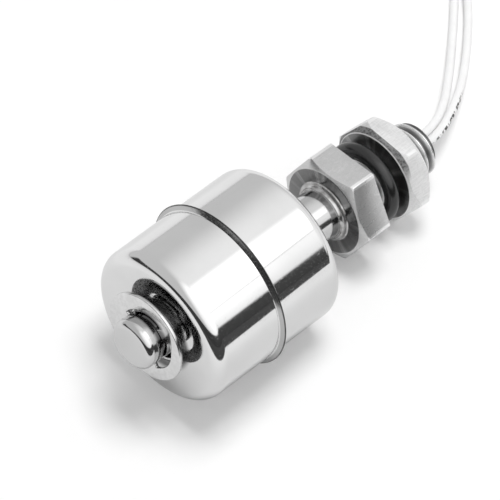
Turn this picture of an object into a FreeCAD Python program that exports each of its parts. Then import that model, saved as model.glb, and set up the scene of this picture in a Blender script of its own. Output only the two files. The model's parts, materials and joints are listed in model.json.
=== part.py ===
import FreeCAD, Part
import math
import os
import types

import Sketcher

# Small stainless float level switch: a hex plug with an M10 stud carries a closed stem tube, and
# a hollow float with a ring magnet slides and turns on the stem between the plug and a retaining
# clip. A reed switch sits inside the stem. The switch lies on its float and on its lock nut.
#
# Every stem piece is drawn about its own Z axis, which runs along the stem from the tip to the
# leads, with Z = 0 on the plug's sealing face. Its local X axis points at the ground.

SIZES = {
    # float
    "float_diameter": 28.0,
    "float_length": 28.4,
    "float_wall": 0.5,
    "float_corner": 2.2,
    "float_gap": 2.15,         # from the clip to the float where it stands
    "seam_height": 0.95,
    "seam_width": 1.1,
    "bore_play": 1.4,          # the float's bore over the stem, on diameter
    "bore_wall": 0.4,
    "magnet_diameter": 17.0,
    "magnet_length": 8.0,
    "spacer_wall": 1.0,
    # stem
    "stem_diameter": 8.8,
    "stem_wall": 0.8,
    "stem_reach": 50.1,        # from the sealing face to the tip
    "tip_length": 6.0,
    "tip_radius": 0.8,
    "spigot_length": 3.0,
    "socket_depth": 3.0,
    "weld_width": 1.1,
    "weld_crown": 0.66,
    "weld_length": 0.9,
    # retaining clip
    "clip_setback": 3.5,       # from the tip to the middle of the clip
    "clip_overhang": 3.6,
    "clip_thickness": 0.7,
    "clip_ring": 2.6,
    "prong_width": 2.4,
    "mouth_width": 6.2,
    "groove_depth": 0.7,
    # plug
    "plug_flats": 16.5,
    "plug_thickness": 5.8,
    "plug_face_step": 0.45,    # from the flats to the turned face
    "thread_diameter": 9.8,
    "thread_length": 16.5,
    "thread_chamfer": 0.9,
    "stud_wall": 1.9,
    "potting_recess": 0.5,
    "potting_length": 12.0,
    # lock nut and sealing ring
    "nut_flats": 16.5,
    "nut_thickness": 4.9,
    "nut_face_step": 0.65,
    "nut_lead_in": 0.54,
    "nut_gap": 1.05,           # from the ring to the nut
    "ring_section": 2.5,
    "ring_gap": 2.55,          # from the sealing face to the ring
    # reed switch and wiring
    "reed_advance": 3.9,       # how much nearer the plug the reed stands than the float's middle
    "glass_diameter": 2.2,
    "glass_length": 14.0,
    "glass_wall": 0.3,
    "blade_diameter": 0.5,
    "blade_reach": 11.0,
    "leaf_width": 1.1,
    "leaf_thickness": 0.2,
    "leaf_overlap": 0.8,
    "leaf_start": 1.8,
    "contact_gap": 0.1,
    "sleeve_wall": 0.35,
    "link_length": 1.0,
    "wire_diameter": 1.5,
    "wire_gap": 0.2,           # between the two wires in the stud
    "conductor_diameter": 0.7,
    "stripped_length": 6.0,
    # fits
    "slide_gap": 0.05,
    "running_gap": 0.05,
    "loose_gap": 0.3,
    "glass_gap": 0.05,
    "sleeve_gap": 0.1,
}

HEX_TURN = -5.5                # degrees that the plug's hexagon stands off flat down
CLIP_TURN = 40.0               # degrees from the ground to the clip's mouth
CHAMFER_ANGLE = math.radians(30)
CUT_CLEAR = 2.0                # how far a cutting profile runs past what it cuts

doc = FreeCAD.newDocument("FloatLevelSwitch")
sheet = doc.addObject("Spreadsheet::Sheet", "Sizes")
for row, (alias, amount) in enumerate(SIZES.items(), start=1):
    sheet.set(f"A{row}", alias)
    sheet.set(f"B{row}", str(amount))
    sheet.setAlias(f"B{row}", alias)
doc.recompute()


class Size:
    """A length with its number and the sheet formula that gives it."""

    def __init__(self, value, formula):
        self.value = value
        self.formula = formula

    def _join(self, other, sign, value, swapped=False):
        other_formula = other.formula if isinstance(other, Size) else repr(float(other))
        first, second = self.formula, other_formula
        if swapped:
            first, second = second, first
        return Size(value, f"({first} {sign} {second})")

    def __add__(self, other):
        return self._join(other, "+", self.value + number(other))

    def __radd__(self, other):
        return self._join(other, "+", number(other) + self.value, swapped=True)

    def __sub__(self, other):
        return self._join(other, "-", self.value - number(other))

    def __rsub__(self, other):
        return self._join(other, "-", number(other) - self.value, swapped=True)

    def __mul__(self, other):
        return self._join(other, "*", self.value * number(other))

    def __rmul__(self, other):
        return self._join(other, "*", number(other) * self.value, swapped=True)

    def __truediv__(self, other):
        return self._join(other, "/", self.value / number(other))

    def __neg__(self):
        return 0.0 - self


def number(length):
    """The plain number of a Size or of a number."""
    return length.value if isinstance(length, Size) else float(length)


s = types.SimpleNamespace(**{name: Size(value, "Sizes." + name) for name, value in SIZES.items()})
parts = {}                     # node name -> document object

# What follows from the sizes: radii first, then heights on the stem counted from the tip's side.
stem_outer = s.stem_diameter / 2
stem_inner = stem_outer - s.stem_wall
groove_radius = stem_outer - s.groove_depth
clip_outer = stem_outer + s.clip_overhang
thread_radius = s.thread_diameter / 2
stud_bore = thread_radius - s.stud_wall
float_outer = s.float_diameter / 2
float_bore = (s.stem_diameter + s.bore_play) / 2
float_sleeve = float_bore + s.bore_wall
wire_radius = s.wire_diameter / 2
wire_offset = (s.wire_diameter + s.wire_gap) / 2
glass_outer = s.glass_diameter / 2
glass_sleeve = glass_outer + s.glass_gap + s.sleeve_wall
reed_offset = stem_inner - s.sleeve_gap - glass_sleeve
clip_station = s.stem_reach - s.clip_setback
float_station = clip_station - s.clip_thickness / 2 - s.float_gap - s.float_length / 2
reed_station = float_station - s.reed_advance
ring_station = s.ring_gap + s.ring_section / 2
nut_station = s.ring_gap + s.ring_section + s.nut_gap
exit_station = s.thread_length - s.potting_recess


# --- drawing helpers ---------------------------------------------------------------------------

def new_body(label):
    body = doc.addObject("PartDesign::Body", label)
    body.Label = label
    return body


def new_sketch(body, plane, name):
    """A sketch on one of the body's own origin planes, found by its role."""
    sketch = body.newObject("Sketcher::SketchObject", name)
    role = plane + "_Plane"
    base = [item for item in body.Origin.OriginFeatures if item.Role == role][0]
    sketch.AttachmentSupport = [(base, "")]
    sketch.MapMode = "FlatFace"
    return sketch


def pin_point(sketch, geometry, point, x, y):
    """Fix one point of a sketch to coordinates that follow the sheet."""
    for kind, axis, length in (("DistanceX", -2, x), ("DistanceY", -1, y)):
        if not isinstance(length, Size) and length == 0:
            sketch.addConstraint(Sketcher.Constraint("PointOnObject", geometry, point, axis))
            continue
        index = sketch.addConstraint(
            Sketcher.Constraint(kind, -1, 1, geometry, point, number(length)))
        if isinstance(length, Size):
            sketch.setExpression(f"Constraints[{index}]", length.formula)


def draw_outline(sketch, corners):
    """A closed outline. A corner is (x, y), or (x, y, cx, cy) where an arc about cx, cy ends."""
    count = len(corners)
    ends = []                  # first and last point codes of each edge
    for k in range(count):
        start = corners[k - 1]
        end = corners[k]
        p = FreeCAD.Vector(number(start[0]), number(start[1]), 0)
        q = FreeCAD.Vector(number(end[0]), number(end[1]), 0)
        if len(end) == 2:
            sketch.addGeometry(Part.LineSegment(p, q), False)
            ends.append((1, 2))
            continue
        centre = FreeCAD.Vector(number(end[2]), number(end[3]), 0)
        circle = Part.Circle(centre, FreeCAD.Vector(0, 0, 1), (p - centre).Length)
        from_angle = math.atan2(p.y - centre.y, p.x - centre.x)
        to_angle = math.atan2(q.y - centre.y, q.x - centre.x)
        turn = (to_angle - from_angle) % (2 * math.pi)
        if turn < math.pi:
            sketch.addGeometry(Part.ArcOfCircle(circle, from_angle, from_angle + turn), False)
            ends.append((1, 2))
        else:
            back = 2 * math.pi - turn
            sketch.addGeometry(Part.ArcOfCircle(circle, to_angle, to_angle + back), False)
            ends.append((2, 1))
    for k in range(count):
        following = (k + 1) % count
        sketch.addConstraint(Sketcher.Constraint(
            "Coincident", k, ends[k][1], following, ends[following][0]))
        pin_point(sketch, k, ends[k][1], corners[k][0], corners[k][1])
        if len(corners[k]) == 4:
            centre_x = corners[k][2]
            index = sketch.addConstraint(
                Sketcher.Constraint("DistanceX", -1, 1, k, 3, number(centre_x)))
            if isinstance(centre_x, Size):
                sketch.setExpression(f"Constraints[{index}]", centre_x.formula)


def draw_circle(sketch, radius, x=0, y=0):
    middle = FreeCAD.Vector(number(x), number(y), 0)
    sketch.addGeometry(Part.Circle(middle, FreeCAD.Vector(0, 0, 1), number(radius)), False)
    geometry = sketch.GeometryCount - 1
    pin_point(sketch, geometry, 3, x, y)
    index = sketch.addConstraint(Sketcher.Constraint("Radius", geometry, number(radius)))
    sketch.setExpression(f"Constraints[{index}]", radius.formula)


def revolve(body, name, corners, cut=False):
    """Turn a profile of (radius, height) corners about the body's Z axis."""
    sketch = new_sketch(body, "XZ", name + "_profile")
    draw_outline(sketch, corners)
    kind = "PartDesign::Groove" if cut else "PartDesign::Revolution"
    feature = body.newObject(kind, name)
    feature.Profile = sketch
    feature.ReferenceAxis = (sketch, ["V_Axis"])
    feature.Angle = 360
    return feature


def extrude(body, name, sketch, length, reverse=False, cut=False, both=False):
    feature = body.newObject("PartDesign::Pocket" if cut else "PartDesign::Pad", name)
    feature.Profile = sketch
    feature.setExpression("Length", length.formula)
    feature.Reversed = reverse
    feature.Midplane = both
    return feature


def turned(label, corners):
    """A piece that is one turned profile."""
    body = new_body(label)
    revolve(body, label + "_turning", corners)
    parts[label] = body
    return body


def tube(label, inner, outer, low, high):
    return turned(label, [(inner, low), (outer, low), (outer, high), (inner, high)])


def rod(label, radius, low, high):
    return turned(label, [(0, low), (radius, low), (radius, high), (0, high)])


# --- plug: hexagon, stud and bores in one turned piece -----------------------------------------

def hexagon(sketch, across_flats, turn):
    """A hexagon with one flat's middle at this angle from local X."""
    corners = []
    for k in range(6):
        angle = math.radians(turn + 30 + 60 * k)
        reach = across_flats / (2 * math.cos(math.radians(30)))
        corners.append((reach * math.cos(angle), reach * math.sin(angle)))
    draw_outline(sketch, corners)


def corner_chamfer(body, name, across_flats, face_radius, face_height, inward):
    """Turn the corners of a hexagon off at 30 degrees, down to a round face."""
    past = across_flats / 2 * 1.3
    drop = (past - face_radius) * math.tan(CHAMFER_ANGLE)
    beyond = face_height - inward * CUT_CLEAR
    revolve(body, name, [
        (face_radius, face_height),
        (past, face_height + inward * drop),
        (past, beyond),
        (face_radius, beyond),
    ], cut=True)


def make_plug():
    body = new_body("plug_body")
    sketch = new_sketch(body, "XY", "plug_hexagon")
    hexagon(sketch, s.plug_flats, HEX_TURN)
    extrude(body, "plug_hex", sketch, s.plug_thickness, reverse=True)
    corner_chamfer(body, "plug_hex_chamfer", s.plug_flats, s.plug_flats / 2 - s.plug_face_step,
                   -s.plug_thickness, 1)
    socket_floor = s.socket_depth - s.plug_thickness
    stud_root = socket_floor / 2
    revolve(body, "plug_stud", [
        (0, stud_root),
        (thread_radius, stud_root),
        (thread_radius, s.thread_length - s.thread_chamfer),
        (thread_radius - s.thread_chamfer, s.thread_length),
        (0, s.thread_length),
    ])
    revolve(body, "plug_bores", [
        (0, -s.plug_thickness - CUT_CLEAR),
        (stem_outer, -s.plug_thickness - CUT_CLEAR),
        (stem_outer, socket_floor),
        (stud_bore, socket_floor),
        (stud_bore, s.thread_length + CUT_CLEAR),
        (0, s.thread_length + CUT_CLEAR),
    ], cut=True)
    parts["plug_body"] = body


# --- stem: drawn tube, turned tip with the clip's groove, weld at the plug ---------------------

def make_stem():
    tube_start = s.tip_length - s.stem_reach
    tube("stem_tube", stem_inner, stem_outer, tube_start, s.socket_depth - s.plug_thickness)

    tip = -s.stem_reach
    half_groove = s.clip_thickness / 2 + s.slide_gap
    turned("end_plug", [
        (0, tip),
        (stem_outer - s.tip_radius, tip),
        (stem_outer, tip + s.tip_radius, stem_outer - s.tip_radius, tip + s.tip_radius),
        (stem_outer, -clip_station - half_groove),
        (groove_radius, -clip_station - half_groove),
        (groove_radius, -clip_station + half_groove),
        (stem_outer, -clip_station + half_groove),
        (stem_outer, tube_start),
        (stem_inner, tube_start),
        (stem_inner, tube_start + s.spigot_length),
        (0, tube_start + s.spigot_length),
    ])
    face = -s.plug_thickness
    turned("stem_weld", [
        (stem_outer, face - s.weld_length),
        (stem_outer + s.weld_crown, face - s.weld_length),
        (stem_outer + s.weld_width, face - s.weld_length / 2),
        (stem_outer + s.weld_width, face),
        (stem_outer, face),
    ])


def make_clip():
    """E-shaped retaining clip: a ring open on one side, with three prongs that grip the groove."""
    body = new_body("retaining_clip")
    hollow = clip_outer - s.clip_ring
    ring = new_sketch(body, "XY", "clip_ring_outline")
    draw_circle(ring, clip_outer)
    draw_circle(ring, hollow)
    extrude(body, "clip_ring_pad", ring, s.clip_thickness, both=True)
    prong = new_sketch(body, "XY", "clip_prong_outline")
    half = s.prong_width / 2
    prong_foot = -hollow - s.clip_ring / 2
    prong_end = -groove_radius / 2
    draw_outline(prong, [
        (prong_end, -half), (prong_end, half), (prong_foot, half), (prong_foot, -half)])
    pad = extrude(body, "clip_prong", prong, s.clip_thickness, both=True)
    prongs = body.newObject("PartDesign::PolarPattern", "clip_prongs")
    prongs.Originals = [pad]
    prongs.Axis = (prong, ["N_Axis"])
    prongs.Angle = 360
    prongs.Occurrences = 3
    body.Tip = prongs
    cut_depth = s.clip_thickness * 2
    seat = new_sketch(body, "XY", "clip_seat_outline")
    draw_circle(seat, groove_radius + s.slide_gap)
    extrude(body, "clip_seat", seat, cut_depth, cut=True, both=True)
    mouth = new_sketch(body, "XY", "clip_mouth_outline")
    draw_outline(mouth, [
        (0, -s.mouth_width / 2),
        (clip_outer + CUT_CLEAR, -s.mouth_width / 2),
        (clip_outer + CUT_CLEAR, s.mouth_width / 2),
        (0, s.mouth_width / 2),
    ])
    extrude(body, "clip_mouth", mouth, cut_depth, cut=True, both=True)
    parts["retaining_clip"] = body


# --- lock nut and sealing ring ----------------------------------------------------------------

def make_nut():
    body = new_body("lock_nut")
    sketch = new_sketch(body, "XY", "nut_hexagon")
    hexagon(sketch, s.nut_flats, 0)
    extrude(body, "nut_hex", sketch, s.nut_thickness)
    face = s.nut_flats / 2 - s.nut_face_step
    corner_chamfer(body, "nut_chamfer_front", s.nut_flats, face, 0 * s.nut_thickness, 1)
    corner_chamfer(body, "nut_chamfer_back", s.nut_flats, face, s.nut_thickness, -1)
    bore = thread_radius + s.running_gap
    wide = bore + s.nut_lead_in + CUT_CLEAR
    revolve(body, "nut_bore", [
        (0, -CUT_CLEAR),
        (wide, -CUT_CLEAR),
        (bore, s.nut_lead_in),
        (bore, s.nut_thickness - s.nut_lead_in),
        (wide, s.nut_thickness + CUT_CLEAR),
        (0, s.nut_thickness + CUT_CLEAR),
    ], cut=True)
    parts["lock_nut"] = body


def make_sealing_ring():
    ring = doc.addObject("Part::Torus", "seal_ring")
    ring.Label = "seal_ring"
    section = s.ring_section / 2
    middle = thread_radius + s.running_gap + section
    ring.setExpression("Radius1", middle.formula)
    ring.setExpression("Radius2", section.formula)
    parts["seal_ring"] = ring


# --- float ------------------------------------------------------------------------------------

def make_float_shell(label):
    """A drawn cup from its end face to the seam, with the seam's flange turned outwards."""
    inner = float_outer - s.float_wall
    end = -s.float_length / 2
    corner = s.float_corner
    flange = s.seam_width / 2
    turned(label, [
        (float_sleeve, end),
        (float_outer - corner, end),
        (float_outer, end + corner, float_outer - corner, end + corner),
        (float_outer, -flange),
        (float_outer + s.seam_height, -flange),
        (float_outer + s.seam_height, 0),
        (inner, 0),
        (inner, end + corner),
        (float_outer - corner, end + s.float_wall),
        (float_sleeve, end + s.float_wall),
    ])


def make_float():
    make_float_shell("float_front_shell")
    make_float_shell("float_rear_shell")
    half = s.float_length / 2
    tube("float_bore_tube", float_bore, float_sleeve, -half, half)
    magnet_half = s.magnet_length / 2
    tube("ring_magnet", float_sleeve + s.loose_gap, s.magnet_diameter / 2,
         -magnet_half, magnet_half)
    spacer_end = half - s.float_wall
    spacer_start = magnet_half + s.loose_gap / 2
    spacer_outer = float_sleeve + s.loose_gap + s.spacer_wall
    for label in ("magnet_spacer_front", "magnet_spacer_rear"):
        tube(label, float_sleeve, spacer_outer, -spacer_end, -spacer_start)


# --- reed switch and wiring inside the stem ----------------------------------------------------

def make_reed():
    inner = glass_outer - s.glass_wall
    blade = s.blade_diameter / 2
    half = s.glass_length / 2
    shoulder = glass_outer - blade
    pinch = s.glass_wall * 3
    turned("reed_glass", [
        (blade, -half),
        (glass_outer, shoulder - half),
        (glass_outer, half - shoulder),
        (blade, half),
        (blade, half - pinch),
        (inner, half - pinch - shoulder),
        (inner, shoulder + pinch - half),
        (blade, pinch - half),
    ])
    for label in ("reed_blade_front", "reed_blade_rear"):
        body = new_body(label)
        lead_end = s.leaf_start - half + s.blade_diameter
        revolve(body, label + "_lead", [
            (0, -s.blade_reach), (blade, -s.blade_reach), (blade, lead_end), (0, lead_end)])
        leaf = new_sketch(body, "YZ", label + "_leaf_outline")
        near = s.contact_gap / 2
        far = near + s.leaf_thickness
        draw_outline(leaf, [
            (near, s.leaf_start - half),
            (far, s.leaf_start - half),
            (far, s.leaf_overlap),
            (near, s.leaf_overlap),
        ])
        extrude(body, label + "_leaf", leaf, s.leaf_width, both=True)
        parts[label] = body
    tube("reed_sleeve", glass_outer + s.glass_gap, glass_sleeve, -half, half)


def make_links():
    """Tinned strips that join the reed's ends to the wires."""
    for label, wire_side in (("front_link", -1), ("rear_link", 1)):
        low = wire_side * wire_offset - s.conductor_diameter / 2
        high = reed_offset + s.blade_diameter / 2
        strip = doc.addObject("Part::Box", label)
        strip.Label = label
        strip.setExpression("Length", s.conductor_diameter.formula)
        strip.setExpression("Width", (high - low).formula)
        strip.setExpression("Height", s.link_length.formula)
        parts[label] = strip


def make_potting():
    """Resin plug that seals the wires in the stud, with a bore for each wire."""
    body = new_body("potting")
    low = exit_station - s.potting_length
    revolve(body, "potting_fill", [
        (0, low), (stud_bore, low), (stud_bore, exit_station), (0, exit_station)])
    wires = new_sketch(body, "XY", "potting_wire_holes")
    for side in (-1, 1):
        draw_circle(wires, wire_radius, 0, side * wire_offset)
    extrude(body, "potting_wire_bores", wires, s.thread_length * 4, cut=True, both=True)
    parts["potting"] = body


def make_inner_wires():
    rod("wire_1_inner", wire_radius, s.blade_reach + s.link_length - reed_station, exit_station)
    rod("wire_2_inner", wire_radius, -reed_station - s.blade_reach, exit_station)


make_plug()
make_stem()
make_clip()
make_nut()
make_sealing_ring()
make_float()
make_reed()
make_links()
make_potting()
make_inner_wires()


# --- how the switch lies -----------------------------------------------------------------------

def resting_tilt():
    """Tilt of the float's axis against the stem's, and of the stem, in radians.

    The stem leans in the float's bore until it touches both ends of it. The float then stands on
    its rear corner, and the lock nut on the rear end of its lowest flat.
    """
    play = SIZES["bore_play"] / 2 - SIZES["slide_gap"]
    lean = math.atan(play / (SIZES["float_length"] / 2))
    corner = SIZES["float_corner"]
    half = SIZES["float_length"] / 2 - corner
    rim = SIZES["float_diameter"] / 2 - corner
    flat = SIZES["nut_flats"] / 2
    chamfer = SIZES["nut_face_step"] * math.tan(CHAMFER_ANGLE)
    foot = number(nut_station) + SIZES["nut_thickness"] - chamfer
    along = foot + number(float_station) - half * math.cos(lean) - rim * math.sin(lean)
    across = flat + half * math.sin(lean) - rim * math.cos(lean)
    tilt = math.asin(corner / math.hypot(along, across)) - math.atan2(across, along)
    return lean, tilt, foot * math.sin(tilt) + flat * math.cos(tilt)


LEAN, TILT, SEAL_HEIGHT = resting_tilt()
STEM_TURN = FreeCAD.Rotation(FreeCAD.Vector(0, 1, 0), 90 + math.degrees(TILT))
FLOAT_TURN = FreeCAD.Rotation(FreeCAD.Vector(0, 1, 0), 90 + math.degrees(TILT - LEAN))
SPIN = FreeCAD.Vector(0, 0, 1)


def on_stem(station, x=0.0, y=0.0, turn=0.0, flip=False):
    """Placement of a piece at this height on the stem's axis, turned about it by this angle."""
    position = FreeCAD.Vector(0, 0, SEAL_HEIGHT) + STEM_TURN.multVec(FreeCAD.Vector(x, y, station))
    rotation = STEM_TURN.multiply(FreeCAD.Rotation(SPIN, turn))
    if flip:
        rotation = rotation.multiply(FreeCAD.Rotation(FreeCAD.Vector(1, 0, 0), 180))
    return FreeCAD.Placement(position, rotation)


def in_float(flip=False):
    rotation = FLOAT_TURN
    if flip:
        rotation = rotation.multiply(FreeCAD.Rotation(FreeCAD.Vector(1, 0, 0), 180))
    return FreeCAD.Placement(on_stem(-number(float_station)).Base, rotation)


REED = number(reed_offset)
WIRE = number(wire_offset)
LINK_EDGE = SIZES["conductor_diameter"] / 2
REED_HEIGHT = -number(reed_station)
placements = {
    "plug_body": on_stem(0),
    "stem_tube": on_stem(0),
    "end_plug": on_stem(0),
    "stem_weld": on_stem(0),
    "retaining_clip": on_stem(-number(clip_station), turn=CLIP_TURN),
    "lock_nut": on_stem(number(nut_station)),
    "seal_ring": on_stem(number(ring_station)),
    "potting": on_stem(0),
    "wire_1_inner": on_stem(0, y=WIRE),
    "wire_2_inner": on_stem(0, y=-WIRE),
    "reed_glass": on_stem(REED_HEIGHT, y=REED),
    "reed_sleeve": on_stem(REED_HEIGHT, y=REED),
    "reed_blade_front": on_stem(REED_HEIGHT, y=REED),
    "reed_blade_rear": on_stem(REED_HEIGHT, y=REED, flip=True),
    "front_link": on_stem(REED_HEIGHT - SIZES["blade_reach"] - SIZES["link_length"],
                          x=-LINK_EDGE, y=-WIRE - LINK_EDGE),
    "rear_link": on_stem(REED_HEIGHT + SIZES["blade_reach"], x=-LINK_EDGE, y=WIRE - LINK_EDGE),
    "float_front_shell": in_float(),
    "float_rear_shell": in_float(flip=True),
    "float_bore_tube": in_float(),
    "ring_magnet": in_float(),
    "magnet_spacer_front": in_float(),
    "magnet_spacer_rear": in_float(flip=True),
}
for label, placement in placements.items():
    parts[label].Placement = placement
doc.recompute()

# The origin is the middle of the switch's own footprint, on the ground.
footprint = FreeCAD.BoundBox()
for label in placements:
    footprint.add(parts[label].Shape.BoundBox)
shift = FreeCAD.Vector(-footprint.Center.x, -footprint.Center.y, 0)
for label in placements:
    moved = parts[label].Placement
    moved.Base = moved.Base + shift
    parts[label].Placement = moved


# --- leads -------------------------------------------------------------------------------------

def resting_point(station, y=0.0):
    return on_stem(station, y=y).Base + shift


def route_edges(points):
    """Straight runs joined by tangent arcs, and each arc's radius."""
    corners = [FreeCAD.Vector(*point) for point in points]
    edges = []
    radii = []
    start = corners[0]
    for before, corner, after in zip(corners, corners[1:], corners[2:]):
        into = (corner - before).normalize()
        out = (after - corner).normalize()
        half_turn = into.getAngle(out) / 2
        back = 0.45 * min((corner - before).Length, (after - corner).Length)
        radii.append(back / math.tan(half_turn))
        arc_start = corner - into * back
        arc_end = corner + out * back
        bisector = (out - into).normalize()
        middle = corner + bisector * (radii[-1] / math.cos(half_turn) - radii[-1])
        edges.append(Part.LineSegment(start, arc_start).toShape())
        edges.append(Part.Arc(arc_start, middle, arc_end).toShape())
        start = arc_end
    edges.append(Part.LineSegment(start, corners[-1]).toShape())
    return edges, radii


def make_feature(label, shape):
    feature = doc.addObject("Part::Feature", label)
    feature.Label = label
    feature.Shape = shape
    parts[label] = feature


def make_wire(label, points, diameter):
    edges, radii = route_edges(points)
    spine = Part.Wire(edges)
    heading = FreeCAD.Vector(*points[1]) - FreeCAD.Vector(*points[0])
    section = Part.Wire(Part.Circle(FreeCAD.Vector(*points[0]), heading, diameter / 2).toShape())
    solid = spine.makePipeShell([section], True, True)
    expected = math.pi * diameter ** 2 / 4 * spine.Length
    print(f"{label}: length {spine.Length:.1f}, volume/expected {solid.Volume / expected:.4f},"
          f" least radius {min(radii):.1f}")
    make_feature(label, solid)


LEAD_RADIUS = SIZES["wire_diameter"] / 2
STRAIGHT_RUN = 4.5             # of each lead in line with the stud
COIL_AHEAD = 48.96             # from the exits to the coil's centre, along X
COIL_ASIDE = 20.4              # and along Y
COIL_PITCH = SIZES["wire_diameter"] + 0.05
COIL_ENTRY = 135.6             # degrees where the leads run onto the coil
COIL_STEP = 15                 # degrees between a coil's points
TIE_THICKNESS = 0.4
TIE_WIDTH = 2.5
TIE_GAP = 0.1
TIP_INWARD = 35                # degrees that a stripped end turns in from its coil

SIDES = {"lead_1": WIRE, "lead_2": -WIRE}
EXIT_X = resting_point(number(exit_station)).x
COIL_CENTRE = FreeCAD.Vector(EXIT_X + COIL_AHEAD, COIL_ASIDE, 0)

# Each lead runs straight out of the stud, comes down to the ground and bends away from the
# switch. A point past the straight run is its distance from the exit along X, its Y and height.
ROUTES = {
    "lead_1": [(10.17, 3.3, 4.45), (16.07, 7.7, 2.35), (21.97, 12.6, 0.95),
               (28.47, 18.3, 0.76), (35.07, 24.9, 0.78)],
    "lead_2": [(10.67, 1.75, 4.35), (16.97, 5.45, 2.35), (23.37, 10.4, 0.95),
               (30.07, 16.5, 0.76), (34.77, 22.6, 2.75), (37.77, 26.5, 2.7)],
}
# The rest of each lead is wound up flat: first radius, turns and height of each coil.
COILS = {"lead_1": (13.0, 3.9, TIE_THICKNESS + LEAD_RADIUS),
         "lead_2": (12.4, 4.3, TIE_THICKNESS + 3 * LEAD_RADIUS)}


def coil_points(radius, turns, height):
    """Points along a flat spiral that winds inwards, clockwise from above."""
    points = []
    for k in range(int(turns * 360 / COIL_STEP) + 1):
        angle = math.radians(COIL_ENTRY - COIL_STEP * k)
        reach = radius - COIL_PITCH * COIL_STEP * k / 360
        offset = FreeCAD.Vector(math.cos(angle), math.sin(angle), 0) * reach
        points.append(COIL_CENTRE + offset + FreeCAD.Vector(0, 0, height))
    return points


def inner_radius(radius, turns):
    return radius - COIL_PITCH * turns - LEAD_RADIUS


def make_lead(label):
    radius, turns, height = COILS[label]
    winding = coil_points(radius, turns, height)
    route = [tuple(resting_point(number(exit_station) + run, SIDES[label]))
             for run in (0, STRAIGHT_RUN)]
    route += [(EXIT_X + ahead, y, z) for ahead, y, z in ROUTES[label]]
    make_wire(label, route + [tuple(winding[0])], SIZES["wire_diameter"])
    length = sum((b - a).Length for a, b in zip(winding, winding[1:]))
    print(f"{label}: wound length {length:.1f}, points",
          [tuple(round(v, 3) for v in point) for point in route])
    low = COIL_CENTRE + FreeCAD.Vector(0, 0, height - LEAD_RADIUS)
    disc = Part.makeCylinder(radius + LEAD_RADIUS, 2 * LEAD_RADIUS, low)
    middle = Part.makeCylinder(inner_radius(radius, turns), 2 * LEAD_RADIUS, low)
    make_feature(label + "_coil", disc.cut(middle))
    heading = (winding[-1] - winding[-2]).normalize()
    turn = FreeCAD.Rotation(SPIN, -TIP_INWARD)
    make_feature(label + "_tip", Part.makeCylinder(
        SIZES["conductor_diameter"] / 2, SIZES["stripped_length"], winding[-1],
        turn.multVec(heading)))


def make_tie():
    """A flat band round both coils, on the side nearest the switch."""
    outer = max(radius for radius, turns, height in COILS.values()) + LEAD_RADIUS + TIE_GAP
    least = min(inner_radius(radius, turns) for radius, turns, height in COILS.values())
    inner = math.sqrt(least ** 2 - (TIE_WIDTH / 2) ** 2) - TIE_GAP
    high = TIE_THICKNESS + 4 * LEAD_RADIUS
    corner = COIL_CENTRE - FreeCAD.Vector(TIE_WIDTH / 2, outer + TIE_THICKNESS, 0)
    band = Part.makeBox(TIE_WIDTH, outer - inner + 2 * TIE_THICKNESS, high + TIE_THICKNESS, corner)
    inside = corner + FreeCAD.Vector(0, TIE_THICKNESS, TIE_THICKNESS)
    make_feature("coil_tie", band.cut(
        Part.makeBox(TIE_WIDTH, outer - inner, high - TIE_THICKNESS, inside)))


make_lead("lead_1")
make_lead("lead_2")
make_tie()
print("tilt", math.degrees(TILT), "lean", math.degrees(LEAN), "seal height", SEAL_HEIGHT,
      "shift", shift.x, "coil centre", tuple(COIL_CENTRE))

doc.recompute()
for item in doc.Objects:
    if "Invalid" in item.State or "Error" in item.State:
        raise RuntimeError(f"{item.Name} failed to build")
for label, item in parts.items():
    if item.Shape.isNull() or not item.Shape.isValid():
        raise RuntimeError(f"{label} has no valid shape")

os.makedirs("parts", exist_ok=True)
for label, item in parts.items():
    item.Shape.exportStep(f"parts/{label}.step")
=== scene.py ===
import json
import math

import bpy
from mathutils import Matrix, Vector


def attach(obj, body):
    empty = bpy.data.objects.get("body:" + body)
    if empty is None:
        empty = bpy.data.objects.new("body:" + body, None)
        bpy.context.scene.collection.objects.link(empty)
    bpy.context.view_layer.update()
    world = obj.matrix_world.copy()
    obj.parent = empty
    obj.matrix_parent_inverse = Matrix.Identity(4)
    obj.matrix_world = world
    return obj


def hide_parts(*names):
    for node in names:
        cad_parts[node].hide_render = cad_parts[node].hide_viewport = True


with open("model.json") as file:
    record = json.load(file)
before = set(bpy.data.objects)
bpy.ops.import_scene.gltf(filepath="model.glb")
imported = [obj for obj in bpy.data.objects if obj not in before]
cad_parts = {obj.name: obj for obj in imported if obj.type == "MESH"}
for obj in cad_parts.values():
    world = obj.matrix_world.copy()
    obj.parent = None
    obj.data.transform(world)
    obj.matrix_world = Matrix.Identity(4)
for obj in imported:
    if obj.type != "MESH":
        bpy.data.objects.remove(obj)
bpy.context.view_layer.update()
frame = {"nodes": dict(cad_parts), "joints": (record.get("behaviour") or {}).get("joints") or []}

# Looks for the stainless float level switch. Sizes are in millimetres where MM follows them, and
# every finished piece sits at the origin with its place in its mesh.
MM = 0.001

scene = bpy.context.scene
scene.view_settings.view_transform = "Standard"


# --- camera ------------------------------------------------------------------------------------

VIEW_FROM = Vector((-320.637, -317.887, 735.509)) * MM
VIEW_ALONG = Vector((0.37215716, 0.37607304, -0.84856827))
LENS = 379.866

camera_data = bpy.data.cameras.new("camera")
camera_data.sensor_width = 36
camera_data.lens = LENS
camera_data.clip_start = 0.01
camera_data.clip_end = 50
camera = bpy.data.objects.new("camera", camera_data)
camera.location = VIEW_FROM
camera.rotation_euler = VIEW_ALONG.to_track_quat("-Z", "Y").to_euler()
scene.collection.objects.link(camera)
scene.camera = camera


# --- leads -------------------------------------------------------------------------------------

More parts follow.
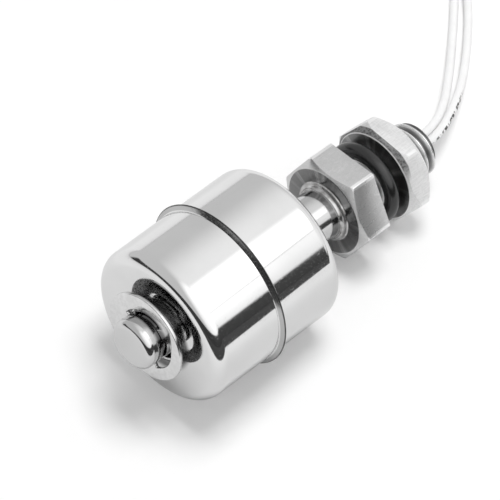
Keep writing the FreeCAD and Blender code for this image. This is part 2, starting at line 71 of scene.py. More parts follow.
WIRE = 1.5 * MM
COIL_CENTRE = Vector((81.1934, 20.4, 0)) * MM
COIL_PITCH = 1.55
COIL_ENTRY = 135.6             # degrees round the coil where a lead comes in
COIL_STEP = 15                 # degrees between a coil's points
LEAD_STEPS = 6

ROUTES = {
    "lead_1": [(32.2334, 0.85, 7.1234), (36.6570, 0.85, 6.2976), (42.4034, 3.3, 4.45),
               (48.3034, 7.7, 2.35), (54.2034, 12.6, 0.95), (60.7034, 18.3, 0.76),
               (67.3034, 24.9, 0.78)],
    "lead_2": [(32.2334, -0.85, 7.1234), (36.6570, -0.85, 6.2976), (42.9034, 1.75, 4.35),
               (49.2034, 5.45, 2.35), (55.6034, 10.4, 0.95), (62.3034, 16.5, 0.76),
               (67.0034, 22.6, 2.75), (70.0034, 26.5, 2.7)],
}
# First radius, turns and height of each coil, in millimetres.
COILS = {"lead_1": (13.0, 3.9, 1.15), "lead_2": (12.4, 4.3, 2.65)}


def coil_points(radius, turns, height):
    """Points along a flat winding that runs inwards, clockwise from above."""
    points = []
    for k in range(int(turns * 360 / COIL_STEP) + 1):
        angle = math.radians(COIL_ENTRY - COIL_STEP * k)
        reach = (radius - COIL_PITCH * COIL_STEP * k / 360) * MM
        points.append(COIL_CENTRE + Vector(
            (reach * math.cos(angle), reach * math.sin(angle), height * MM)))
    return points


def make_lead(name):
    """One insulated lead, from the stud's end to its tip, as a single cord."""
    curve = bpy.data.curves.new(name + "_wire", "CURVE")
    curve.dimensions = "3D"
    points = [Vector(point) * MM for point in ROUTES[name]] + coil_points(*COILS[name])
    spline = curve.splines.new("NURBS")
    spline.points.add(len(points) - 1)
    for knot, point in zip(spline.points, points):
        knot.co = (*point, 1)
        knot.radius = WIRE / 2
    spline.order_u = 3
    spline.use_endpoint_u = True
    spline.resolution_u = LEAD_STEPS
    curve.bevel_depth = 1          # times each point's own radius
    curve.bevel_resolution = 5
    curve.use_fill_caps = True
    wire = bpy.data.objects.new(name + "_wire", curve)
    scene.collection.objects.link(wire)
    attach(wire, "stem")
    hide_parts(name, name + "_coil")
    return wire


leads = [make_lead(name) for name in ROUTES]


# --- where the pieces stand --------------------------------------------------------------------

JOINTS = {joint["name"]: joint for joint in frame["joints"]}
STEM_AXIS = Vector(JOINTS["float_travel"]["axis"])
NUT_MIDDLE = 8.55              # from the plug's sealing face, along the stem
SEAL_POINT = Vector(JOINTS["nut_turn"]["pos_m"]) - STEM_AXIS * NUT_MIDDLE * MM
FLOAT_AXIS = Vector(JOINTS["float_spin"]["axis"])
FLOAT_POINT = Vector(JOINTS["float_spin"]["pos_m"])
SIDEWAYS = Vector((0, 1, 0))


def placed(point, axis):
    """A frame with Z along this axis, Y level and X towards the ground."""
    matrix = Matrix((SIDEWAYS.cross(axis), SIDEWAYS, axis)).transposed().to_4x4()
    matrix.translation = point
    return matrix


ON_STEM = placed(SEAL_POINT, STEM_AXIS)
IN_FLOAT = placed(FLOAT_POINT, FLOAT_AXIS)


# --- modelling helpers -------------------------------------------------------------------------

MERGE = 0.001 * MM
SHARP = 30                     # degrees from which an edge is rounded


def only(piece):
    """Select just this piece and make it the active one."""
    bpy.ops.object.select_all(action="DESELECT")
    piece.select_set(True)
    bpy.context.view_layer.objects.active = piece


def rounded(corners, segments=8):
    """An outline's points. A corner is (radius, height) or (radius, height, rounding)."""
    points = []
    for k, corner in enumerate(corners):
        here = Vector(corner[:2])
        if len(corner) == 2:
            points.append(here)
            continue
        before = (Vector(corners[k - 1][:2]) - here).normalized()
        after = (Vector(corners[(k + 1) % len(corners)][:2]) - here).normalized()
        half = before.angle(after) / 2
        back = corner[2] / math.tan(half)
        middle = here + (before + after).normalized() * corner[2] / math.sin(half)
        start = here + before * back - middle
        sweep = start.angle_signed(here + after * back - middle)
        for j in range(segments + 1):
            arm = start.copy()
            arm.rotate(Matrix.Rotation(-sweep * j / segments, 2))
            points.append(middle + arm)
    return points


def select_edges(piece, wanted):
    """Go into edit mode with just the wanted edges selected."""
    only(piece)
    bpy.ops.object.mode_set(mode="EDIT")
    bpy.ops.mesh.select_mode(type="EDGE")
    bpy.ops.mesh.select_all(action="DESELECT")
    bpy.ops.object.mode_set(mode="OBJECT")
    for edge in piece.data.edges:
        edge.select = wanted(edge)
    bpy.ops.object.mode_set(mode="EDIT")


def turned(name, corners, steps=144, segments=8):
    """A piece spun about Z from an outline in millimetres."""
    points = rounded(corners, segments)
    on_axis = points[0].x == 0 and points[-1].x == 0
    bpy.ops.object.select_all(action="DESELECT")
    bpy.ops.mesh.primitive_circle_add(vertices=len(points), radius=MM)
    piece = bpy.context.object
    piece.name = name
    for vertex, point in zip(piece.data.vertices, points):
        vertex.co = (point.x * MM, 0, point.y * MM)
    if on_axis:
        select_edges(piece, lambda edge: set(edge.vertices) == {0, len(points) - 1})
        bpy.ops.mesh.delete(type="EDGE")
    else:
        bpy.ops.object.mode_set(mode="EDIT")
    bpy.ops.mesh.select_mode(type="VERT")
    bpy.ops.mesh.select_all(action="SELECT")
    bpy.ops.mesh.spin(steps=steps, angle=math.tau, center=(0, 0, 0), axis=(0, 0, 1))
    bpy.ops.mesh.select_all(action="SELECT")
    bpy.ops.mesh.remove_doubles(threshold=MERGE)
    bpy.ops.mesh.normals_make_consistent(inside=False)
    bpy.ops.object.mode_set(mode="OBJECT")
    return piece


def shaped(piece, kind, **settings):
    """Add a modifier to a piece and apply it."""
    only(piece)
    modifier = piece.modifiers.new(kind.lower(), kind)
    for key, value in settings.items():
        setattr(modifier, key, value)
    bpy.ops.object.modifier_apply(modifier=modifier.name)


def cut(piece, tool):
    """Keep only what lies inside the tool, and throw the tool away."""
    shaped(piece, "BOOLEAN", operation="INTERSECT", solver="EXACT", object=tool)
    bpy.data.objects.remove(tool)


def softened(piece, width, segments):
    """Round a piece's sharp edges over this width in millimetres."""
    shaped(piece, "BEVEL", width=width * MM, segments=segments, limit_method="ANGLE",
           angle_limit=math.radians(SHARP))


def finished(piece, place, body, slot, *nodes, smooth=35):
    """Put a piece in its place, hang it on its body and let it stand for its CAD nodes."""
    only(piece)
    bpy.ops.object.shade_smooth_by_angle(angle=math.radians(smooth))
    piece.matrix_world = place
    bpy.ops.object.transform_apply(location=True, rotation=True, scale=True)
    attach(piece, body)
    if nodes:
        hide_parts(*nodes)
    return piece


# --- float -------------------------------------------------------------------------------------

FLOAT_OUTER = 14.0
FLOAT_HALF = 14.2
FLOAT_CORNER = 2.2
FLOAT_WALL = 0.5
FLOAT_HOLE = 5.5
SEAM_OUTER = 14.95
SEAM_HALF = 0.55
END_CROWN = 0.04               # how far an end face's rim stands back from its middle
HOLE_SHADE_FULL = 6.6               # the painted shade round the float's hole fades from this radius
HOLE_SHADE_GONE = 7.8


def make_cup(name, node, side):
    """Half of the float: a drawn cup whose rim meets the other's at the seam."""
    inner = FLOAT_OUTER - FLOAT_WALL
    cup = turned(name, [
        (FLOAT_HOLE, -FLOAT_HALF, 0.15),
        (FLOAT_OUTER - FLOAT_CORNER - 1, -FLOAT_HALF),
        (FLOAT_OUTER, -FLOAT_HALF + END_CROWN, FLOAT_CORNER),
        (FLOAT_OUTER, -SEAM_HALF - 0.05, 0.05),
        (FLOAT_OUTER + 0.13, -SEAM_HALF + 0.02, 0.04),
        (SEAM_OUTER, -0.02, 0.05),
        (SEAM_OUTER - 0.03, 0),
        (inner, 0),
        (inner, -FLOAT_HALF + FLOAT_CORNER),
        (FLOAT_OUTER - FLOAT_CORNER, -FLOAT_HALF + FLOAT_WALL),
        (FLOAT_HOLE, -FLOAT_HALF + FLOAT_WALL),
    ], steps=192, segments=12)
    place = IN_FLOAT if side < 0 else IN_FLOAT @ Matrix.Rotation(math.pi, 4, "X")
    return finished(cup, place, "float", "float_steel", node)


float_cups = [make_cup("float_front_cup", "float_front_shell", -1),
              make_cup("float_rear_cup", "float_rear_shell", 1)]


# --- stem, tip and weld ------------------------------------------------------------------------

STEM_OUTER = 4.4
STEM_INNER = 3.6
TIP_END = -50.1
CLIP_AT = -46.6
GROOVE = 3.7
GROOVE_HALF = 0.4
TIP_ROUNDING = 1.1
TUBE_START = -41.1             # the hollow inside the stem, along its axis
TUBE_END = -2.8

stem = turned("stem_and_tip", [
    (0, TIP_END),
    (STEM_OUTER, TIP_END, TIP_ROUNDING),
    (STEM_OUTER, CLIP_AT - GROOVE_HALF, 0.05),
    (GROOVE, CLIP_AT - GROOVE_HALF),
    (GROOVE, CLIP_AT + GROOVE_HALF),
    (STEM_OUTER, CLIP_AT + GROOVE_HALF, 0.05),
    (STEM_OUTER, TUBE_END),
    (STEM_INNER, TUBE_END),
    (STEM_INNER, TUBE_START),
    (0, TUBE_START),
], steps=128)
finished(stem, ON_STEM, "stem", "stainless_polished", "stem_tube", "end_plug")

PLUG_FACE = -5.8
weld = turned("stem_weld_bead", [
    (STEM_OUTER, PLUG_FACE - 0.9),
    (STEM_OUTER + 0.22, PLUG_FACE - 0.86, 0.1),
    (STEM_OUTER + 0.36, PLUG_FACE - 0.36, 0.6),
    (STEM_OUTER + 0.95, PLUG_FACE - 0.2, 0.1),
    (STEM_OUTER + 1.1, PLUG_FACE),
    (STEM_OUTER, PLUG_FACE),
], steps=128, segments=8)
finished(weld, ON_STEM, "stem", "stainless_polished", "stem_weld")


# --- plug and lock nut -------------------------------------------------------------------------

FLATS = 16.5
CORNER_REACH = FLATS / math.sqrt(3)
CHAMFER = math.radians(30)
BLANK_REACH = CORNER_REACH + 0.4


def hexagon(name, low, high, turn):
    """A hexagonal bar between two heights, turned about its axis by this many degrees."""
    bpy.ops.object.select_all(action="DESELECT")
    bpy.ops.mesh.primitive_cylinder_add(
        vertices=6, radius=CORNER_REACH * MM, depth=(high - low) * MM,
        location=(0, 0, (low + high) / 2 * MM), rotation=(0, 0, math.radians(turn)))
    piece = bpy.context.object
    piece.name = name
    bpy.ops.object.transform_apply(location=True, rotation=True, scale=True)
    return piece


def chamfered_blank(low, high, low_face, high_face, bore, slope=CHAMFER):
    """A turned blank whose ends fall away outside a round face, bored through."""
    low_drop = (BLANK_REACH - low_face) * math.tan(slope) if low_face else 0
    high_drop = (BLANK_REACH - high_face) * math.tan(slope) if high_face else 0
    outline = [(bore, low)]
    if low_face:
        outline.append((low_face, low))
    outline += [(BLANK_REACH, low + low_drop), (BLANK_REACH, high - high_drop)]
    if high_face:
        outline.append((high_face, high))
    return turned("blank", outline + [(bore, high)], steps=180)


PLUG_TURN = -5.5               # degrees that the plug's hexagon is turned against the nut's
PLUG_ROUND = 7.8               # radius of the plug's turned face
plug = hexagon("hex_plug", PLUG_FACE, 0, PLUG_TURN)
cut(plug, chamfered_blank(PLUG_FACE, 0, PLUG_ROUND, 0, STEM_OUTER))
softened(plug, 0.12, segments=3)
finished(plug, ON_STEM, "stem", "stainless_brushed", "plug_body")

NUT_LOW = 6.1
NUT_HIGH = 11.0
NUT_FACE = 7.87                # radius of the nut's round end faces
NUT_CHAMFER = math.radians(45)
NUT_BORE = 4.95
nut = hexagon("hex_lock_nut", NUT_LOW, NUT_HIGH, 0)
cut(nut, chamfered_blank(NUT_LOW, NUT_HIGH, NUT_FACE, NUT_FACE, NUT_BORE, NUT_CHAMFER))
softened(nut, 0.1, segments=3)
finished(nut, ON_STEM, "lock_nut", "stainless_brushed", "lock_nut")

# The stud's thread: one turn's outline is swept up a screw, then trimmed to a chamfered blank.
PITCH = 1.5
CREST = 4.9
ROOT = 4.0
STUD_START = -2.0
STUD_END = 16.5
STUD_BORE = 3.0
CREST_FLAT = 0.08
ROOT_FLAT = 0.25
THREAD_START = -4 * PITCH      # the sweep runs past both ends of the blank
THREAD_TURNS = 19


def make_stud():
    """The hollow threaded stud."""
    flank = (PITCH - 2 * CREST_FLAT - ROOT_FLAT) / 2
    turn = [(ROOT, 0), (ROOT, ROOT_FLAT), (CREST, ROOT_FLAT + flank),
            (CREST, ROOT_FLAT + flank + 2 * CREST_FLAT), (ROOT, PITCH)]
    bpy.ops.object.select_all(action="DESELECT")
    bpy.ops.mesh.primitive_circle_add(vertices=len(turn), radius=MM)
    stud = bpy.context.object
    stud.name = "threaded_stud"
    for vertex, (reach, height) in zip(stud.data.vertices, turn):
        vertex.co = (reach * MM, 0, (height + THREAD_START) * MM)
    select_edges(stud, lambda edge: set(edge.vertices) == {0, len(turn) - 1})
    bpy.ops.mesh.delete(type="EDGE")
    bpy.ops.object.mode_set(mode="OBJECT")
    shaped(stud, "SCREW", axis="Z", angle=math.tau, screw_offset=PITCH * MM,
           iterations=THREAD_TURNS, steps=72, render_steps=72, use_merge_vertices=True,
           merge_threshold=MERGE, use_smooth_shade=False)
    # Each open end is drawn in to one point on the axis.
    for height in (THREAD_START, THREAD_START + THREAD_TURNS * PITCH):
        faces_at = [0] * len(stud.data.edges)
        for loop in stud.data.loops:
            faces_at[loop.edge_index] += 1
        middle = height + PITCH / 2
        select_edges(stud, lambda edge: faces_at[edge.index] == 1 and abs(
            stud.data.vertices[edge.vertices[0]].co.z / MM - middle) < 2 * PITCH)
        bpy.ops.mesh.extrude_region_move()
        bpy.ops.transform.resize(value=(0, 0, 0), center_override=(0, 0, middle * MM))
        bpy.ops.mesh.remove_doubles(threshold=MERGE)
        bpy.ops.object.mode_set(mode="OBJECT")
    bpy.ops.object.mode_set(mode="EDIT")
    bpy.ops.mesh.select_mode(type="VERT")
    bpy.ops.mesh.select_all(action="SELECT")
    bpy.ops.mesh.remove_doubles(threshold=MERGE)
    bpy.ops.mesh.normals_make_consistent(inside=False)
    bpy.ops.object.mode_set(mode="OBJECT")
    cut(stud, turned("blank", [
        (STUD_BORE, STUD_START), (CREST + 0.2, STUD_START), (CREST + 0.2, STUD_END - 1.1),
        (CREST - 0.9, STUD_END), (STUD_BORE + 0.25, STUD_END), (STUD_BORE, STUD_END - 0.25),
    ], steps=144))
    return finished(stud, ON_STEM, "stem", "stainless_brushed", smooth=25)


stud = make_stud()


# --- retaining clip ----------------------------------------------------------------------------

CLIP_HOLLOW = 5.4              # radius of the openings between the clip's prongs
CLIP_OFFSET = 0.5              # how far that circle is moved off the clip's middle


def make_clip():
    """An E-shaped clip with stamped, slightly rounded edges, from its own CAD outline."""
    node = frame["nodes"]["retaining_clip"]
    clip = node.copy()
    clip.data = node.data.copy()
    clip.name = "stamped_clip"
    clip.parent = None
    for key in [key for key in clip.keys() if key.startswith("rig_")]:
        del clip[key]
    scene.collection.objects.link(clip)
    clip.matrix_world = ON_STEM.inverted() @ node.matrix_world
    only(clip)
    bpy.ops.object.transform_apply(location=True, rotation=True, scale=True)
    bpy.ops.object.mode_set(mode="EDIT")
    bpy.ops.mesh.select_mode(type="VERT")
    bpy.ops.mesh.select_all(action="SELECT")
    bpy.ops.mesh.remove_doubles(threshold=MERGE)
    bpy.ops.mesh.select_all(action="DESELECT")
    bpy.ops.object.mode_set(mode="OBJECT")
    for vertex in clip.data.vertices:
        vertex.select = abs(vertex.co.xy.length / MM - CLIP_HOLLOW) < 0.05
    bpy.ops.object.mode_set(mode="EDIT")
    bpy.ops.transform.translate(value=(0, -CLIP_OFFSET * MM, 0))
    bpy.ops.mesh.select_all(action="SELECT")
    bpy.ops.mesh.dissolve_limited(angle_limit=math.radians(1))
    bpy.ops.object.mode_set(mode="OBJECT")
    softened(clip, 0.18, segments=4)
    return finished(clip, ON_STEM, "stem", "spring_steel", "retaining_clip")


clip = make_clip()


# --- shader maths ------------------------------------------------------------------------------

class Value:
    """A socket that the usual operators work on: each adds its Math node."""

    def __init__(self, tree, socket):
        self.tree = tree
        self.socket = socket

    def maths(self, operation, *values):
        return self.tree.node("Math", {"operation": operation}, values)

    def __add__(self, other):
        return self.maths("ADD", self, other)

    __radd__ = __add__

    def __sub__(self, other):
        return self.maths("SUBTRACT", self, other)

    def __rsub__(self, other):
        return self.maths("SUBTRACT", other, self)

    def __mul__(self, other):
        return self.maths("MULTIPLY", self, other)

    __rmul__ = __mul__

    def size(self):
        return self.maths("ABSOLUTE", self)

    def most(self, other):
        return self.maths("MAXIMUM", self, other)

    def step(self, low, high):
        """0 below low, 1 above high and smooth between them."""
        return self.tree.node("MapRange", {"interpolation_type": "SMOOTHSTEP"},
                              {"Value": self, "From Min": low, "From Max": high})


class Tree:
    """A node tree with one way to add any node."""

    def __init__(self, nodes_of):
        self.tree = nodes_of.node_tree
        self.tree.nodes.clear()

    def node(self, kind, settings, inputs, output=0):
        """Add a node, its settings first, then its sockets by place or by name."""
        made = self.tree.nodes.new("ShaderNode" + kind)
        for key, setting in settings.items():
            setattr(made, key, setting)
        named = inputs.items() if isinstance(inputs, dict) else enumerate(inputs)
        for key, given in named:
            if isinstance(given, Value):
                self.tree.links.new(given.socket, made.inputs[key])
            else:
                made.inputs[key].default_value = given
        return Value(self, made.outputs[output])

    def vector(self, operation, *values, output=0):
        return self.node("VectorMath", {"operation": operation}, values, output)

    def blend(self, factor, first, second):
        """A colour from the first to the second as the factor runs from 0 to 1."""
        return self.node("Mix", {"data_type": "RGBA"}, {0: factor, 6: first, 7: second}, 2)

    def noise(self, place, scale, detail=2.0, roughness=0.5):
        return self.node("TexNoise", {}, {"Vector": place, "Scale": scale, "Detail": detail,
                                          "Roughness": roughness})

    def stretched(self, place, along, across=1.0):
        """Coordinates that run this much faster along Z than across it."""
        return self.vector("MULTIPLY", place, (across, across, along))


def grey(level, warmth=0.0):
    return (level + warmth, level, level - warmth, 1)


class Finish(Tree):
    """A Principled material with constants set on its own sockets."""

    def __init__(self, name, **constants):
        self.material = bpy.data.materials.new(name)
        self.material.use_nodes = True
        super().__init__(self.material)
        self.shader = self.tree.nodes.new("ShaderNodeBsdfPrincipled")
        output = self.tree.nodes.new("ShaderNodeOutputMaterial")
        self.tree.links.new(self.shader.outputs[0], output.inputs["Surface"])
        for key, constant in constants.items():
            self.shader.inputs[key.replace("_", " ")].default_value = constant

    def feed(self, socket, given):
        self.tree.links.new(given.socket, self.shader.inputs[socket])

    def place(self, matrix):
        """Object coordinates as seen from a piece's own frame."""
        coordinates = self.node("TexCoord", {}, {}, "Object")
        return self.node("Mapping", {"vector_type": "TEXTURE"}, {
            "Vector": coordinates, "Location": matrix.translation,
            "Rotation": matrix.to_euler()})

    def radius(self, place):
        return self.vector("LENGTH", self.vector("MULTIPLY", place, (1, 1, 0)), output=1)

    def relief(self, height, depth):
        """Raise the surface by this depth, in millimetres, where the height is 1."""
        bump = self.node("Bump", {}, {"Strength": 1.0, "Distance": depth * MM,
                                      "Height": height})
        self.feed("Normal", bump)

    def on(self, *pieces):
        for piece in pieces:
            if piece.data.materials:
                for k in range(len(piece.data.materials)):
                    piece.material_slots[k].material = self.material
            else:
                piece.data.materials.append(self.material)


# --- finishes ----------------------------------------------------------------------------------

def polished_steel(name, place, level, grain, depth):
    """Bright steel, polished round its axis, with faint turning lines and a slight ripple."""
    steel = Finish(name, Metallic=1.0)
    spot = steel.place(place)
    lines = steel.noise(steel.stretched(spot, 14), 900, 3)
    ripple = steel.noise(spot, 330, 2)
    cloud = steel.noise(spot, 120, 3)
    frosting = steel.noise(spot, 3600, 3, 0.7).step(0.50, 0.72)
    shade = steel.blend(cloud.step(0.3, 0.7), grey(level), grey(level - 0.03))
    return steel, spot, shade, grain + cloud * (grain * 0.5) + frosting * 0.16, depth, (
        lines * 0.35 + ripple * 0.65)


def float_polish():
    """The cups' polish, duller on the seam's ridge, with painted shade on the ridge, its crest and
    round the hole.
    """
    steel, spot, shade, roughness, depth, surface = polished_steel(
        "float_polish", IN_FLOAT, 0.73, 0.035, 0.0012)
    reach = steel.radius(spot)
    ridge = reach.step((FLOAT_OUTER + 0.08) * MM, (FLOAT_OUTER + 0.2) * MM)
    crest = reach.step((SEAM_OUTER - 0.28) * MM, (SEAM_OUTER - 0.12) * MM)
    blotches = steel.noise(spot, 700, 3)
    # Painted shade: the seam's ridge is darkened, and its crest and the face round the hole are
    # made almost black.
    shade = steel.blend(ridge, shade, grey(0.46))
    mouth = 1.0 - reach.step(HOLE_SHADE_FULL * MM, HOLE_SHADE_GONE * MM)
    painted_shade = (crest * (0.6 + blotches * 0.6)).most(mouth * (0.75 + blotches * 0.25))
    steel.feed("Base Color", steel.blend(painted_shade, shade, grey(0.06)))
    steel.feed("Roughness", roughness + ridge * 0.10 + crest * 0.15 + mouth * 0.12)
    steel.relief(surface + crest * blotches * 3.0, depth)
    return steel


def stem_polish():
    """The stem's polish, with painted shade darkening it next to the clip's groove."""
    steel, spot, shade, roughness, depth, surface = polished_steel(
        "stem_polish", ON_STEM, 0.60, 0.07, 0.002)
    height = steel.node("SeparateXYZ", {}, [spot], "Z")
    # Painted shade: next to the clip's groove the stem is made almost black.
    groove_shade = 1.0 - (height - (CLIP_AT - 0.35) * MM).size().step(0.35 * MM, 1.1 * MM)
    shade_patches = steel.noise(steel.stretched(spot, 3), 260, 3).step(0.35, 0.65)
    steel.feed("Base Color", steel.blend(groove_shade * (0.75 + shade_patches * 0.25), shade, grey(0.03)))
    steel.feed("Roughness", roughness)
    steel.relief(surface, depth)
    return steel


def brushed_steel(name, level, grain, face_at, face_reach, face_level, face_grain,
                  corner_level, pitting):
    """Machined steel: brushed flats, pitted corners, edges brightened as wear and painted
    highlight, and a turned round face at one end, made dark with radial streaks as painted
    reflection and highlights.
    """
    steel = Finish(name, Metallic=1.0)
    spot = steel.place(ON_STEM)
    height = steel.node("SeparateXYZ", {}, [spot], "Z")
    reach = steel.radius(spot)
    brushed = steel.noise(steel.stretched(spot, 0.35, 2.0), 2200, 3, 0.6)
    crossed = steel.noise(steel.stretched(spot, 9, 1.0), 900, 2)
    cloud = steel.noise(spot, 260, 3)
    rings = steel.node("TexNoise", {"noise_dimensions": "1D"}, {"W": reach, "Scale": 7000,
                                                                "Detail": 2.0})
    outward = steel.vector("NORMALIZE", steel.vector("MULTIPLY", spot, (1, 1, 0)))
    rays = steel.noise(outward, 3.5, 3)
    # The pitted, darker corners are left out on the side facing along this direction.
    spared_side = steel.vector("DOT_PRODUCT", outward, Vector((0.2, -0.98, 0)), output=1).step(0.4, 0.75)
    near_face = 1.0 - (height - face_at * MM).size().step(0.02 * MM, 0.06 * MM)
    round_face = near_face * (1.0 - reach.step(face_reach * MM, (face_reach + 0.1) * MM))
    corner = (1.0 - (height - face_at * MM).size().step(0.9 * MM, 1.0 * MM)) * reach.step(
        (face_reach + 0.05) * MM, (face_reach + 0.25) * MM) * (1.0 - spared_side)
    texture = brushed * 0.65 + crossed * 0.35
    pits = steel.noise(spot, 2300, 3, 0.7).step(0.45, 0.62) * pitting
    shade = steel.blend(texture.step(0.3, 0.7), grey(level), grey(level * 0.84))
    shade = steel.blend(cloud.step(0.45, 0.75) * 0.35, shade, grey(level * 0.78))
    # Painted reflection and highlights: the round face is made dark, with lighter radial streaks.
    disc = steel.blend(rays.step(0.50, 0.74), grey(face_level), grey(face_level * 2.4))
    shade = steel.blend(round_face, shade, disc)
    pitted = steel.blend(pits, grey(corner_level), grey(corner_level * 0.45))
    shade = steel.blend(corner * (1.0 - round_face), shade, pitted)
    # Partly wear and partly painted highlight: the hex's corner edges are brightened almost to
    # white.
    edges = reach.step((CORNER_REACH - 0.32) * MM, (CORNER_REACH - 0.2) * MM)
    steel.feed("Roughness", grain + texture * 0.08 - round_face * (grain - face_grain)
               + corner * pits * 0.15)
    steel.feed("Base Color", steel.blend(edges * 0.8, shade, grey(0.95)))
    steel.relief(texture * (1.0 - round_face) + rings * round_face * 0.6 + corner * pits, 0.006)
    return steel


float_polish().on(*float_cups)
stem_polish().on(stem)
brushed_steel("plug_machining", level=0.66, grain=0.24, face_at=PLUG_FACE,
              face_reach=PLUG_ROUND, face_level=0.21, face_grain=0.10, corner_level=0.62,
              pitting=0.1).on(plug)
brushed_steel("nut_machining", level=0.90, grain=0.46, face_at=NUT_LOW, face_reach=NUT_FACE,
              face_level=0.24, face_grain=0.34, corner_level=0.30, pitting=1.0).on(nut)


def thread_steel():
    """The thread: darkened in its roots as painted shade, and bright along its crests."""
    steel = Finish("thread_steel", Metallic=1.0)
    spot = steel.place(ON_STEM)
    lines = steel.noise(steel.stretched(spot, 10), 1600, 3)
    toward_crest = steel.radius(spot).step((ROOT + 0.35) * MM, CREST * MM)
    # Painted shade: the thread's roots are made dark.
    steel.feed("Base Color", steel.blend(toward_crest, grey(0.30), grey(0.84)))
    steel.feed("Roughness", 0.34 - toward_crest * 0.12 + lines * 0.08)
    steel.relief(lines, 0.004)
    return steel


def clip_steel():
    """Stamped spring steel: a bright front and edges, and a back made dark as painted shade."""
    steel = Finish("clip_steel", Metallic=1.0)
    spot = steel.place(ON_STEM)
    height = steel.node("SeparateXYZ", {}, [spot], "Z")
    back = height.step((CLIP_AT + 0.05) * MM, (CLIP_AT + 0.3) * MM)
    grain = steel.noise(spot, 1500, 3)
    front = steel.blend(grain.step(0.3, 0.7), grey(0.70), grey(0.63))
    # Painted shade: the clip's back, facing the float, is made dark.
    steel.feed("Base Color", steel.blend(back, front, grey(0.14)))
    steel.feed("Roughness", 0.12 + grain * 0.12 + back * 0.1)
    steel.relief(grain, 0.002)
    return steel


def weld_steel():
    """The weld bead, with a rippled surface."""
    steel = Finish("weld_steel", Metallic=1.0)
    spot = steel.place(ON_STEM)
    ripples = steel.noise(spot, 1100, 2)
    steel.feed("Base Color", steel.blend(ripples.step(0.35, 0.65), grey(0.52), grey(0.36, 0.005)))
    steel.feed("Roughness", 0.14 + ripples * 0.10)
    steel.relief(ripples, 0.02)
    return steel


thread_steel().on(stud)
clip_steel().on(clip)
weld_steel().on(weld)


def plain_finish(name, colour, roughness, spread, scale, depth, dark=0.82, **constants):
    """A moulded, drawn or cast material with a fine mottle in colour, gloss and surface."""
    finish = Finish(name, **constants)
    spot = finish.node("TexCoord", {}, {}, "Object")
    mottle = finish.noise(spot, scale, 4, 0.6)
    darker = tuple(part * dark for part in colour[:3]) + (1,)
    finish.feed("Base Color", finish.blend(mottle.step(0.25, 0.75), colour, darker))
    finish.feed("Roughness", roughness + mottle * spread)
    finish.relief(mottle, depth)
    return finish


def dashes(finish):
    """Short dark generic flecks along one side of a lead, near its exit."""
    spot = finish.node("TexCoord", {}, {}, "Object")
    facing = finish.node("TexCoord", {}, {}, "Normal")
    side = finish.vector("DOT_PRODUCT", facing, Vector((0.78, -0.62, 0.1)), output=1)
    along = finish.node("SeparateXYZ", {}, [spot], "X")
    near_exit = along.step(32 * MM, 34 * MM) * (1.0 - along.step(45 * MM, 48 * MM))
    flecks = finish.noise(spot, 1500, 2).step(0.50, 0.54)
    mark = side.step(0.70, 0.80) * near_exit * flecks
    plain = finish.shader.inputs["Base Color"].links[0].from_socket
    finish.feed("Base Color", finish.blend(mark, Value(finish, plain), grey(0.02)))


nodes = frame["nodes"]
plain_finish("ring_rubber", grey(0.010), 0.16, 0.10, 900, 0.004,
             Specular_IOR_Level=0.6).on(nodes["seal_ring"])
plain_finish("lead_1_insulation", grey(0.95), 0.40, 0.15, 500, 0.002, 0.96).on(leads[0])
marked_lead = plain_finish("lead_2_insulation", grey(0.95), 0.40, 0.15, 500, 0.002, 0.96)
marked_lead.on(leads[1])
dashes(marked_lead)
plain_finish("inner_insulation", (0.84, 0.84, 0.83, 1), 0.35, 0.15, 700, 0.008).on(
    nodes["wire_1_inner"], nodes["wire_2_inner"])
plain_finish("tinned_copper", grey(0.70, 0.01), 0.22, 0.2, 2200, 0.01, Metallic=1.0).on(
    nodes["lead_1_tip"], nodes["lead_2_tip"], nodes["front_link"], nodes["rear_link"])
plain_finish("tie_nylon", (0.82, 0.82, 0.80, 1), 0.40, 0.2, 1200, 0.01).on(nodes["coil_tie"])
plain_finish("spacer_nylon", (0.80, 0.80, 0.77, 1), 0.45, 0.2, 800, 0.01).on(
    nodes["magnet_spacer_front"], nodes["magnet_spacer_rear"])
plain_finish("potting_resin", grey(0.03), 0.18, 0.15, 600, 0.02).on(nodes["potting"])
plain_finish("sintered_ferrite", grey(0.07), 0.55, 0.2, 1500, 0.03).on(nodes["ring_magnet"])
plain_finish("reed_plating", grey(0.66, 0.03), 0.15, 0.1, 1800, 0.003, Metallic=1.0).on(
    nodes["reed_blade_front"], nodes["reed_blade_rear"])
plain_finish("reed_capsule_glass", (0.62, 0.85, 0.70, 1), 0.04, 0.04, 500, 0.002,
             Transmission_Weight=0.9).on(nodes["reed_glass"])
plain_finish("sleeve_plastic", grey(0.10), 0.45, 0.2, 900, 0.008).on(nodes["reed_sleeve"])
plain_finish("bore_tube_steel", grey(0.66), 0.14, 0.1, 900, 0.003, Metallic=1.0).on(
    nodes["float_bore_tube"])


# --- floor, studio and lamp --------------------------------------------------------------------

SOFTBOX = Vector((0.590, -0.341, 0.731))
OVERHEAD = Vector((-0.056, -0.640, 0.766))
DARK_SIDE = Vector((-0.866, -0.5, 0))
WALL_LEVEL = 0.70
DIFFUSE_LEVEL = 0.50

FLOOR_HALF = 4.0
FLOOR_SINK = 0.02              # so that nothing shares a face with the floor
PAPER_GLOW = 0.17              # keeps the paper white to the camera and in reflections
FAR_GLOW = 0.4                 # added far off, where the lamp's light falls off
bpy.ops.object.select_all(action="DESELECT")
bpy.ops.mesh.primitive_plane_add(size=2 * FLOOR_HALF, location=(0, 0, -FLOOR_SINK * MM))
floor = bpy.context.object
floor.name = "floor"

paper = Finish("white_paper", Roughness=0.9)
paper.shader.inputs["Specular IOR Level"].default_value = 0.1
ground = paper.node("TexCoord", {}, {}, "Object")
fibres = paper.noise(ground, 60, 3)
distance = paper.vector("LENGTH", ground, output=1)
camera_ray = paper.node("LightPath", {}, {}, "Is Camera Ray")
mirrored = paper.node("LightPath", {}, {}, "Is Glossy Ray").most(
    paper.node("LightPath", {}, {}, "Is Transmission Ray"))
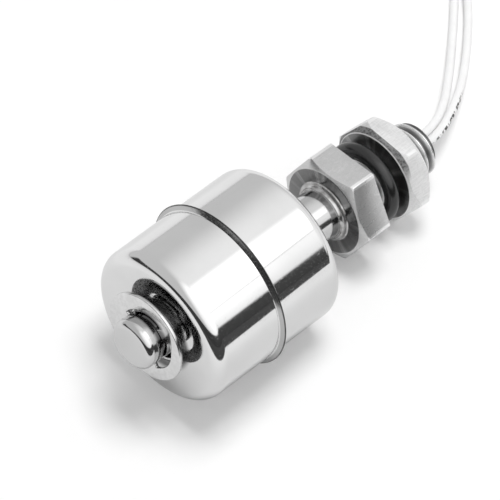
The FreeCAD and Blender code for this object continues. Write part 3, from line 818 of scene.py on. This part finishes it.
# In reflections the paper ends a little way off on its dark side.
ends = paper.vector("DOT_PRODUCT", ground, Vector((-0.5, -0.866, 0)), output=1).step(
    0.082, 0.090) * mirrored
white = paper.blend(fibres.step(0.3, 0.7), grey(0.84), grey(0.835))
paper.feed("Base Color", paper.blend(ends, white, grey(0.05)))
paper.shader.inputs["Emission Color"].default_value = (1, 1, 1, 1)
open_paper = distance.step(0.03, 0.08) * (1.0 - ends)
paper.feed("Emission Strength", camera_ray * (PAPER_GLOW + distance.step(0.3, 1.5) * FAR_GLOW)
           + mirrored * open_paper * PAPER_GLOW)
paper.on(floor)

world = bpy.data.worlds.new("studio")
world.use_nodes = True
scene.world = world
studio = Tree(world)
heading = studio.node("TexCoord", {}, {}, "Generated")
unit = studio.vector("NORMALIZE", heading)
rise = studio.node("SeparateXYZ", {}, [unit], "Z")
towards = studio.vector("DOT_PRODUCT", unit, SOFTBOX, output=1)
level = WALL_LEVEL + towards.step(0.35, 0.95) * 0.42 + towards.step(0.945, 0.992) * 0.7
overhead = studio.vector("DOT_PRODUCT", unit, OVERHEAD, output=1)
level = level + overhead.step(0.62, 0.92) * 0.6
# A thin darker line crosses the softbox at one height.
frame_line = 1.0 - (rise - 0.545).size().step(0.004, 0.012)
level = level * (1.0 - frame_line * towards.step(0.85, 0.95) * 0.3)
# Low down, one side of the studio is dark in reflections.
behind = studio.vector("DOT_PRODUCT", unit, DARK_SIDE, output=1)
dark_side = behind.step(-0.25, -0.08)
low_band = 1.0 - (rise - behind.step(0.3, 0.9) * 0.06).step(0.21, 0.27)
reflected = level * (1.0 - dark_side * low_band * 0.93)
seen = studio.node("LightPath", {}, {}, "Is Camera Ray")
glossy = studio.node("LightPath", {}, {}, "Is Glossy Ray").most(
    studio.node("LightPath", {}, {}, "Is Transmission Ray"))
shade = DIFFUSE_LEVEL * (1.0 - glossy) + reflected * glossy
shade = shade * (1.0 - seen) + seen
background = studio.tree.nodes.new("ShaderNodeBackground")
background.inputs["Color"].default_value = (1, 1, 1, 1)
studio.tree.links.new(shade.socket, background.inputs["Strength"])
world_output = studio.tree.nodes.new("ShaderNodeOutputWorld")
studio.tree.links.new(background.outputs[0], world_output.inputs["Surface"])

LAMP_AT = Vector((0.17, -0.04, 0.98))
LAMP_SIZE = 0.36
LAMP_POWER = 5.6
lamp_data = bpy.data.lights.new("softbox", "AREA")
lamp_data.shape = "RECTANGLE"
lamp_data.size = LAMP_SIZE
lamp_data.size_y = LAMP_SIZE
lamp_data.energy = LAMP_POWER
lamp = bpy.data.objects.new("softbox", lamp_data)
lamp.location = LAMP_AT
lamp.rotation_euler = (-LAMP_AT).to_track_quat("-Z", "Y").to_euler()
lamp.visible_glossy = False
scene.collection.objects.link(lamp)
